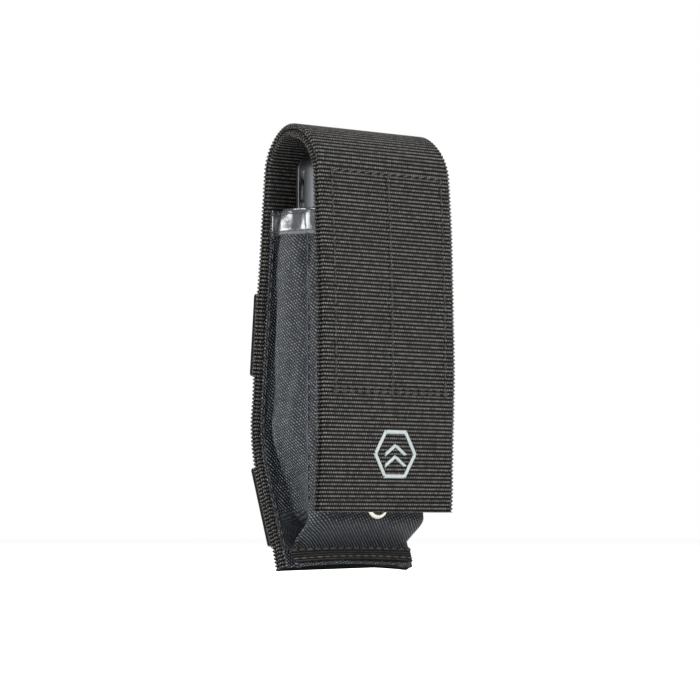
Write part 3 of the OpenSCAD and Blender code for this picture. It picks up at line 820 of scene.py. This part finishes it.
def carryingRow(name, z, onTheFoot, node, seed):
    origin, up, out = backFrame(z, onTheFoot)
    middle = sheath["strapWidth"] / 2 + 1.2
    end = -sheath["webWidth"] / 2 + 0.1
    # from one end, flat on the back, up over the strap, as (across, out)
    rising = [(end, 0.05), (-middle - 4.2, 0.05), (-middle - 2.2, 0.5), (-middle - 0.4, rowRise - 0.1),
              (-middle + 2, rowRise)]
    section = rising + [(-x, n) for x, n in reversed(rising)]
    line = []
    for x, n in section:
        y, height = origin + out * (sheath["webThick"] + 0.1 + n + sheath["strapThick"] / 2)
        line.append((x, y, height))
    row = ribbedStrip(name, line, (0.0, up[0], up[1]), sheath["rowHeight"] - 0.2, -sheath["strapThick"] / 2,
                      sheath["strapThick"] / 2, webbingNylon, seed=seed)
    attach(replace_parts(row, node), "sheath")
    return origin, up, out


upperFrame = carryingRow("upperCarryingRow", upperRowZ, False, "upper_row", 8)
lowerFrame = carryingRow("lowerCarryingRow", lowerRowZ, True, "lower_row", 9)

tailHinge = upperRowZ + sheath["rowHeight"] / 2 + 2.2
tailEnd = 112.0
backBend = arc(bendCentre, sheath["bendRadius"], -sheath["footLean"], sheath["backLean"], 1.5)
strapFoot = tuple(np.array(footEnd) + footDirection * 1.4)
strapPath = [strapFoot] + backBend + [(backY(tailEnd), tailEnd)]
strap = ribbedStrip("carryStrap", inSpace(strapPath), acrossX, sheath["strapWidth"], strapIn + 0.02,
                    strapIn + sheath["strapThick"] - 0.02, webbingNylon, archFoot, seed=12)
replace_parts(strap, "carry_strap", "strap_tail", "strap_anchor")
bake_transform(strap)

# The snap's cap, in mm: how far up the tail it sits, and its dome as (radius, height)
snap = {
    "up": 14.0,
    "dome": [(0.0, 1.5), (1.6, 1.47), (3.2, 1.36), (4.6, 1.16), (5.4, 0.92), (5.9, 0.66), (6.2, 0.36),
             (6.1, 0.12), (5.6, 0.0), (0.0, 0.0)],
}
snapZ = tailHinge + snap["up"]
backOut = np.array([math.cos(lean), math.sin(lean)])
snapCentre = np.array([backY(snapZ), snapZ]) + backOut * (strapIn + sheath["strapThick"])
cap = lathe("snapCapDome", snap["dome"], (0, *snapCentre), (0, *backOut), snapEnamel)
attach(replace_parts(cap, "snap_cap"), "strap_tail_end")
print("back finished")


def flapLine(x, low, high):
    # a row of stitches down the flap, standing a little out of its face
    zs = np.linspace(high, low, max(2, int(abs(high - low) / 2)))
    return drape(np.array([(x, frontY - seam["proud"], z) for z in zs]))


def flapCross(z, x0, x1):
    return drape(np.array([(x, frontY - seam["proud"], z) for x in np.arange(x0, x1 + 0.01, 1.5)]))


downX = (-seam["boxHalf"], seam["boxHalf"], seam["boxMiddle"])
crossZ = (seam["boxLow"], seam["boxLow"] + 1.3, seam["flapHem"])
flapSeams = [flapLine(x, seam["boxLow"], seam["boxTop"] - 1) for x in downX]
flapSeams += [flapCross(z, -seam["boxHalf"], seam["boxHalf"]) for z in crossZ]

# the top of the box is sewn with long slanting stitches
slants = []
for x in np.arange(-seam["boxHalf"] + 0.6, seam["boxHalf"] - 1.6, seam["slantPitch"]):
    slant = [(x, frontY - 0.1, seam["boxTop"] - 0.4), (x + 1.1, frontY - 0.4, seam["boxTop"]),
             (x + 2.2, frontY - 0.1, seam["boxTop"] + 0.4)]
    slants.append(drape(np.array(slant)))
topStitches = sewn("flapTopStitches", slants, satinStitch, 1.0, 1.0, 0.2, dimThread)
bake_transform(topStitches)
flapStitches = sewn("flapStitches", flapSeams, lockstitch, seam["pitch"], seam["stitch"], seam["radius"],
                    blackThread)
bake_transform(flapStitches)

edgeX = sheath["webWidth"] / 2 - seam["inset"]
backEdgePath = [footEnd] + backBend + [backTop]
# the first two points lie on the foot's end, where a stitch would hang below it
backSeams = [surfaceLine(backEdgePath, side * edgeX, sheath["webThick"] + 0.08)[2:] for side in (-1, 1)]
for origin, up, out in (upperFrame, lowerFrame):
    for side in (-1, 1):
        for inset in (1.8, 5.4):
            line, threadOut = [], sheath["webThick"] + sheath["strapThick"] + 0.22
            for t in np.linspace(-sheath["rowHeight"] / 2 + 1, sheath["rowHeight"] / 2 - 1, 14):
                y, height = origin + up * t + out * threadOut
                line.append((side * (sheath["webWidth"] / 2 - inset), y, height))
            backSeams.append(line)
for up in (3.0, 7.0):
    y, height = np.array(footEnd) + footDirection * up + footNormal * (strapIn + sheath["strapThick"] + 0.1)
    reach = sheath["strapWidth"] / 2 - 1.5
    backSeams.append(archFoot(np.array([(x, y, height) for x in np.linspace(-reach, reach, 12)])))
backStitches = sewn("backStitches", backSeams, lockstitch, seam["pitch"], seam["stitch"], seam["radius"],
                    blackThread)
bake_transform(backStitches)

pocketSeams = []
clothOut = pocket["cloth"] + 0.12  # from the cloth's inner face to a thread on its outer face
for side in (-1, 1):
    flangeY = [backY(z) - liningIn - pocket["clothGap"] - clothOut for z in np.linspace(9, 106, 60)]
    flange = [(side * pocket["seamX"], y, z) for y, z in zip(flangeY, np.linspace(9, 106, 60))]
    cornerX = side * (pocket["half"] + clothOut)
    corner = [(cornerX, pocketY + pocket["corner"], z) for z in np.linspace(22, 99, 50)]
    pocketSeams += [flange, corner]
for up in (1.6, 4.4):
    foot = onFoot(up, hemOut - hemTape["thick"] / 2 - 0.1)
    pocketSeams.append(archFoot(np.array([(x, foot[1], foot[2]) for x in np.linspace(-22, 22, 30)])))
pocketStitches = sewn("pocketStitches", pocketSeams, lockstitch, seam["pitch"], seam["stitch"],
                      seam["radius"], dimThread)
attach(pocketStitches, "sheath")

tapeSeams = []
for drop in (1.3, mouthTape["height"] - 0.9):
    reach = mouthTape["wall"] / 2 + mouthTape["lift"] * 0.4 + 0.12
    outerFace = mouthRing + mouthAway * reach
    tapeSeams.append([(x, y, sheath["mouth"] - drop) for x, y in outerFace])
tapeStitches = sewn("tapeStitches", tapeSeams, lockstitch, 2.2, 1.7, 0.2, dimThread)
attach(tapeStitches, "sheath")
print("seams sewn")

# Embroidered mark: a hexagon round two chevrons, in satin stitch
emblem = {"x": 2.0, "z": 35.0, "size": 7.6, "stroke": 0.95, "thread": 0.15, "pitch": 0.27, "proud": 0.3}


def satinStroke(start, end, width):
    # threads laid side by side across a stroke, each a low arch
    start, end = np.array(start, float), np.array(end, float)
    along = end - start
    length = np.linalg.norm(along)
    along /= length
    across = np.array([-along[1], along[0]])
    threads = []
    for k, place in enumerate(np.arange(0.1, length, emblem["pitch"])):
        centre = start + along * place
        reach = width / 2 * (1 + 0.07 * math.sin(k * 2.4))
        slant = along * 0.35
        threads.append([centre + (across * reach + slant) * t for t in (-1, -0.6, 0, 0.6, 1)])
    return threads


def emblemThreads():
    s = emblem["size"]
    strokes = []
    rim = [(s * math.cos(a), s * math.sin(a)) for a in np.radians(np.arange(0, 360, 60))]
    for i in range(6):
        strokes.append((rim[i], rim[(i + 1) % 6], emblem["stroke"]))
    for lift in (-0.28, 0.16):
        for side in (-1, 1):
            outer, point = (side * s * 0.5, (lift - 0.18) * s), (0, (lift + 0.18) * s)
            strokes.append((outer, point, emblem["stroke"] * 0.8))
    lines = []
    arch = (0.0, 0.8, 1.0, 0.8, 0.0)
    for start, end, width in strokes:
        for thread in satinStroke(start, end, width):
            lines.append([(emblem["x"] + p[0], frontY - emblem["proud"] * a + 0.12, emblem["z"] + p[1])
                          for p, a in zip(thread, arch)])
    flat = drape(np.array(lines).reshape(-1, 3)).reshape(len(lines), 5, 3)
    return list(flat)


mark = sewn("embroideredMark", emblemThreads(), satinStitch, 1.0, 1.0, emblem["thread"], paleThread)
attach(mark, "flap")
print("mark embroidered")

# Metal: the multi tool and the snap keep their CAD shape, with broken edges
finishes = {
    "black_oxide_steel": (blackOxide, 0.5),
    "dark_steel": (darkSteel, 0.2),
    "nickel": (nickelPlate, 0.1),
}


def dressCad():
    slotOf = {part["node"]: part["material_slot"] for part in frame["record"]["subparts"]}
    for name, node in frame["nodes"].items():
        if node.hide_render:
            continue
        material, edge = finishes.get(slotOf[name], (blackOxide, 0.2))
        node.data.materials.clear()
        node.data.materials.append(material)
        weld = node.modifiers.new("weld", "WELD")
        weld.merge_threshold = 0.001 * mm
        broken = node.modifiers.new("brokenEdge", "BEVEL")
        broken.width, broken.segments, broken.limit_method = edge * mm, 3, "ANGLE"
        broken.angle_limit = math.radians(35)
        broken.use_clamp_overlap = True
        broken.harden_normals = True
        node.data.polygons.foreach_set("use_smooth", np.ones(len(node.data.polygons), bool))


dressCad()
frame["nodes"]["knife_blade"].data.materials[0] = brightEdge
print("tool finished")

# Floor, light and camera; lengths in metres but for the lens, angles in degrees
stageSizes = {
    "floor": 8.0,
    "lens": 153.3,
    "distance": 0.9,
    "azimuth": -38.78,
    "elevation": -3.53,
    "aim": 0.067,
}
bpy.ops.mesh.primitive_plane_add(size=stageSizes["floor"], location=(0, 0, -0.0003))
floor = bpy.context.object
floor.name = "floor"
# Matt emulsion: white with no gloss at all
floorPaint, floorTree, floorSurface = newMaterial("matteWhitePaint", "#fbfbfb", Roughness=1.0,
                                                  Specular_IOR_Level=0.0)
floor.data.materials.append(floorPaint)

# the floor and the studio's walls look near white, and throw less light than they show
world = bpy.data.worlds.new("studio")
bpy.context.scene.world = world
world.use_nodes = True
sky = world.node_tree.nodes["Background"]
sky.inputs["Color"].default_value = (1, 1, 1, 1)
floorSurface.inputs["Emission Color"].default_value = (1, 1, 1, 1)
for tree, socket, low, high in ((world.node_tree, sky.inputs["Strength"], 0.12, 1.0),
                                (floorTree, floorSurface.inputs["Emission Strength"], 0.0, 0.85)):
    seen = addNode(tree, "ShaderNodeLightPath", None, None, "Is Camera Ray")
    shown = addNode(tree, "ShaderNodeMapRange", None, {"Value": seen, "To Min": low, "To Max": high})
    tree.links.new(shown, socket)


def softbox(name, place, aim, size, power, tall=None):
    light = bpy.data.lights.new(name, "AREA")
    light.shape, light.size, light.size_y, light.energy = "RECTANGLE", size, tall or size, power
    made = bpy.data.objects.new(name, light)
    bpy.context.scene.collection.objects.link(made)
    made.location = place
    made.rotation_euler = (Vector(aim) - Vector(place)).to_track_quat("-Z", "Y").to_euler()
    return made


middle = (0, 0, stageSizes["aim"])
softbox("keyFront", (0.3, -0.75, 0.45), middle, 0.3, 10.0)
softbox("fillLeft", (-0.8, -0.3, 0.2), middle, 0.3, 8.0, 0.6)
softbox("rimLeft", (-0.55, 0.62, 0.06), middle, 0.6, 7.5, 0.5)
softbox("topStrip", (-0.15, 0.2, 0.7), middle, 0.5, 4.0, 0.2)

camera = bpy.data.objects.new("camera", bpy.data.cameras.new("camera"))
bpy.context.scene.collection.objects.link(camera)
bpy.context.scene.camera = camera
azimuth, elevation = math.radians(stageSizes["azimuth"]), math.radians(stageSizes["elevation"])
level = math.cos(elevation)
backwards = Vector((math.sin(azimuth) * level, -math.cos(azimuth) * level, math.sin(elevation)))
camera.location = Vector(middle) + backwards * stageSizes["distance"]
camera.rotation_euler = backwards.to_track_quat("Z", "Y").to_euler()
camera.data.lens, camera.data.sensor_width = stageSizes["lens"], 36.0
camera.data.shift_x, camera.data.shift_y = -0.0013, -0.001
camera.data.clip_start, camera.data.clip_end = 0.05, 20.0
camera.data.dof.use_dof = False
bpy.context.scene.view_settings.view_transform = "Standard"

print("scene ready")
